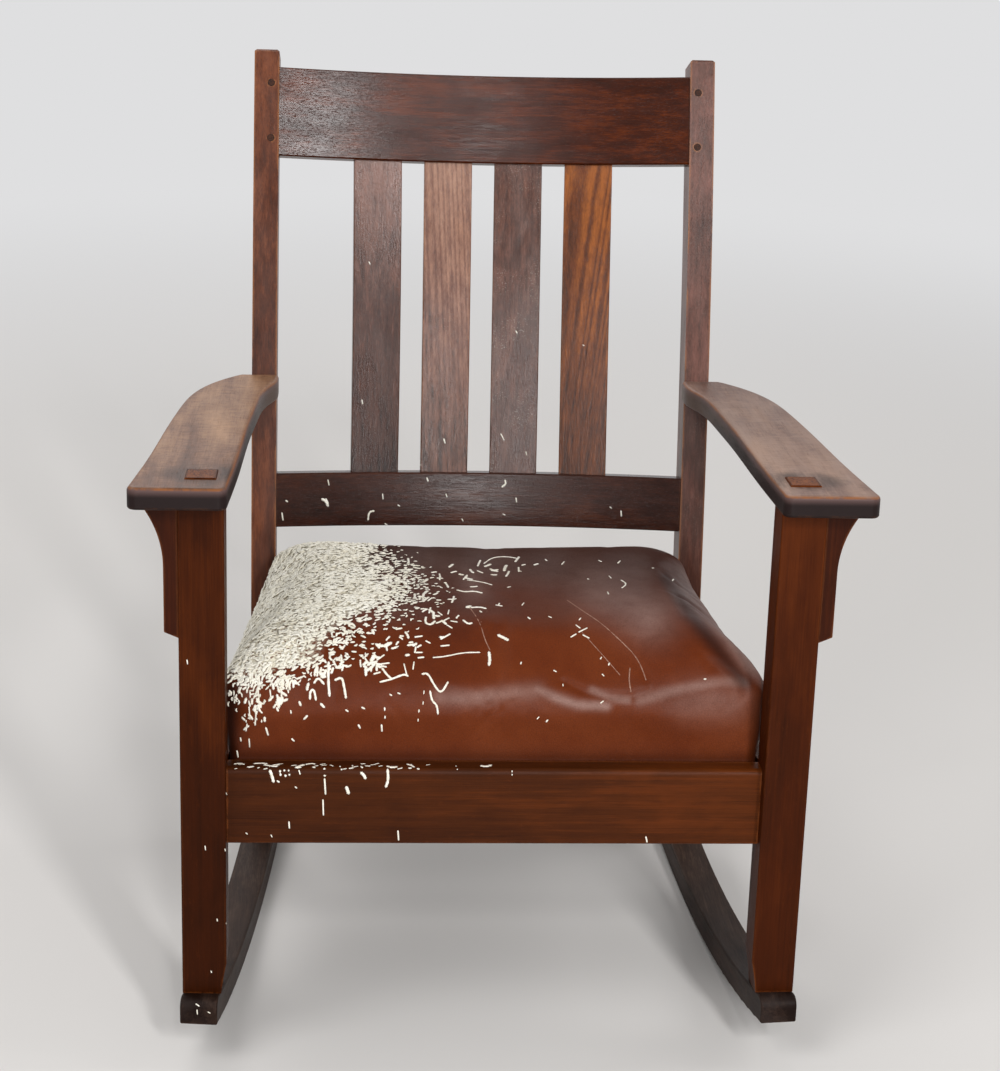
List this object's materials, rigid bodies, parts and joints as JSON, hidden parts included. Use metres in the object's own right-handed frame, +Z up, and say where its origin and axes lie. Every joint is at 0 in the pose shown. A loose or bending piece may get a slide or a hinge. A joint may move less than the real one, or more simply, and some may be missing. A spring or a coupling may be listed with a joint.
{
  "type": "mission rocking chair",
  "caption": "Mission oak rocking chair with flat curved arms on corbels, a bowed slatted back on leaning posts, toed-in rockers and a drop-in spring seat in leather.",
  "frame": {"origin": "on the floor, under the middle of the bounding box", "axes": "+Z up, the chair faces -Y, +X is to the right of someone who looks at its front"},
  "size_m": [0.714, 0.7418, 0.9107],
  "materials": {
    "fumed_oak": "satin",
    "light_oak": "satin",
    "oak_plugs": "satin",
    "plain_oak": "matte",
    "frame_wood": "matte",
    "leather": "satin",
    "padding": "matte",
    "jute": "matte",
    "black_cambric": "matte",
    "steel": "satin",
    "spring_steel": "satin"
  },
  "bodies": {
    "frame": {"front_post_left": "fumed_oak", "front_post_right": "fumed_oak", "rear_post_left": "fumed_oak", "rear_post_right": "fumed_oak", "arm_left": "fumed_oak", "arm_right": "fumed_oak", "corbel_left": "fumed_oak", "corbel_right": "fumed_oak", "rocker_left": "fumed_oak", "rocker_right": "fumed_oak", "side_seat_rail_left": "fumed_oak", "side_seat_rail_right": "fumed_oak", "front_seat_rail": "fumed_oak", "rear_seat_rail": "fumed_oak", "crest_rail": "fumed_oak", "lower_back_rail": "fumed_oak", "back_slat_1": "fumed_oak", "back_slat_3": "fumed_oak", "back_slat_2": "light_oak", "back_slat_4": "light_oak", "crest_rail_pegs": "oak_plugs", "front_corner_block_left": "plain_oak", "front_corner_block_right": "plain_oak", "rear_corner_block_left": "plain_oak", "rear_corner_block_right": "plain_oak", "seat_cleat_left": "plain_oak", "seat_cleat_right": "plain_oak", "corner_block_screws": "steel", "seat_cleat_screws": "steel", "rocker_screws": "steel"},
    "seat": {"seat_frame_front": "frame_wood", "seat_frame_rear": "frame_wood", "seat_frame_right": "frame_wood", "seat_frame_left": "frame_wood", "seat_frame_dowels": "frame_wood", "seat_webbing": "jute", "seat_springs": "spring_steel", "spring_burlap": "jute", "seat_padding": "padding", "leather_cover": "leather", "upholstery_tacks": "steel", "dust_cover": "black_cambric"}
  },
  "joints": [
    {"name": "seat_lift", "type": "slide", "parent": "frame", "child": "seat", "axis": [0, 0.0965, 0.9953], "range_m": [0, 0.12]}
  ]
}
